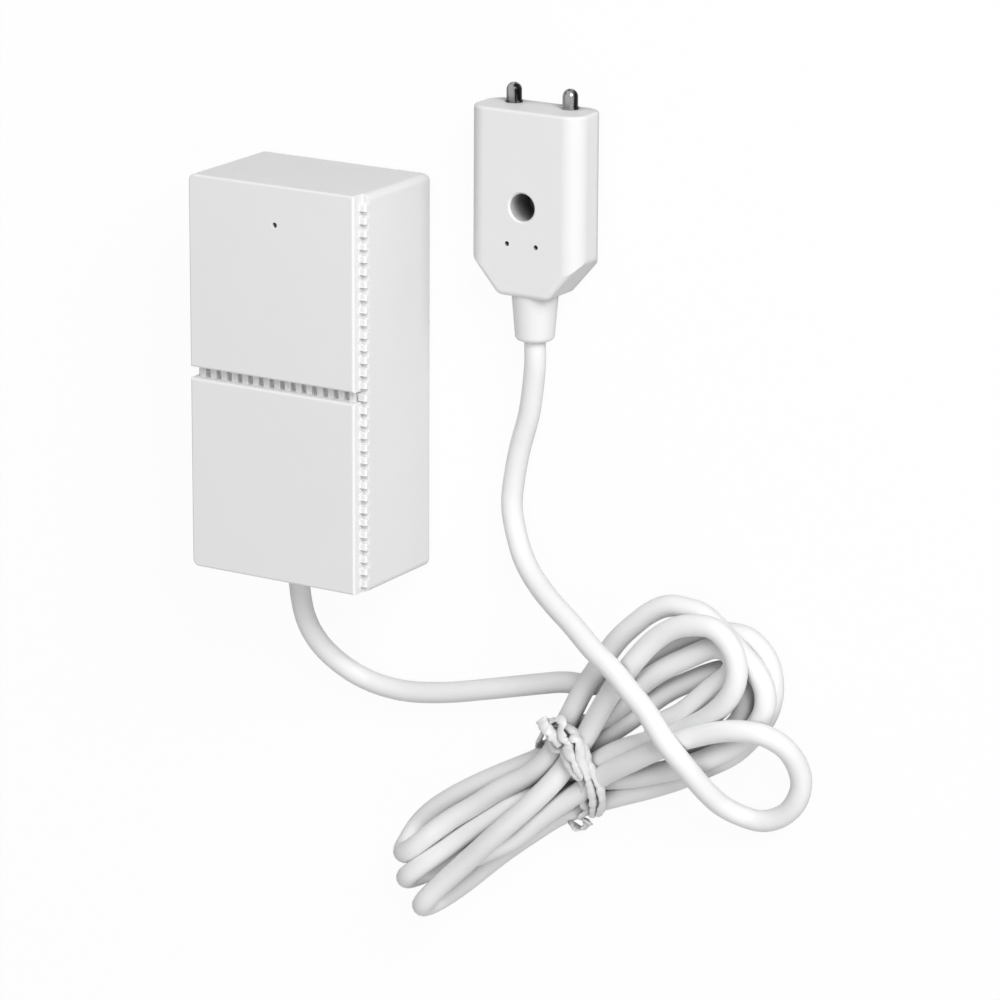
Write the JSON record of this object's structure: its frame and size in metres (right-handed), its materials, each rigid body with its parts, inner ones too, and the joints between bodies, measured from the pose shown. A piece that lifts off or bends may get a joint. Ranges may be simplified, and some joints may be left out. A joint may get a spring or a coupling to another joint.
{
  "type": "flood sensor",
  "caption": "Battery-powered water leak sensor box with a flat contact probe on a tied, folded cord.",
  "frame": {"origin": "centre of the box's back face, which lies on the table", "axes": "+X across the box towards the probe and the toothed edge, +Y up the box away from its cord, +Z out of the table through the box's front"},
  "size_m": [0.1317, 0.1777, 0.0266],
  "materials": {
    "cover_plastic": "satin white moulded plastic",
    "base_plastic": "satin white moulded plastic",
    "screw_steel": "zinc plated",
    "gland_rubber": "soft white rubber",
    "clamp_plastic": "moulded",
    "board_laminate": "green coated laminate",
    "holder_plastic": "black moulded",
    "cell_sleeve": "shrunk sleeve over a steel can",
    "contact_metal": "nickel plated",
    "terminal_plastic": "green moulded",
    "shield_metal": "tinned shield can",
    "chip_plastic": "black moulded",
    "can_metal": "bare can",
    "light_plastic": "clear lens",
    "guide_plastic": "clear moulded",
    "core_plastic": "insulated wire",
    "probe_plastic": "satin white moulded plastic",
    "pin_metal": "polished, nickel plated",
    "boot_rubber": "soft white",
    "cord_sheath": "smooth white sheath",
    "tie_plastic": "white coated wire"
  },
  "bodies": {
    "root": {"front_cover": "cover_plastic", "rear_base": "base_plastic", "cover_screws": "screw_steel", "cord_gland": "gland_rubber", "cord_clamp": "clamp_plastic", "clamp_screws": "screw_steel", "circuit_board": "board_laminate", "board_screws": "screw_steel", "cell_holder": "holder_plastic", "cell_left": "cell_sleeve", "cell_right": "cell_sleeve", "contact_plates": "contact_metal", "contact_springs": "contact_metal", "terminal_block": "terminal_plastic", "terminal_screws": "screw_steel", "radio_module": "shield_metal", "controller_chip": "chip_plastic", "capacitors": "can_metal", "antenna": "contact_metal", "indicator_light": "light_plastic", "light_guide": "guide_plastic", "box_cores": "core_plastic", "probe_body": "probe_plastic", "contact_pin_left": "pin_metal", "contact_pin_right": "pin_metal", "probe_cores": "core_plastic", "probe_boot": "boot_rubber", "cord_box_side": "cord_sheath", "cord_hank": "cord_sheath", "cord_probe_side": "cord_sheath", "hank_tie": "tie_plastic"}
  },
  "joints": []
}
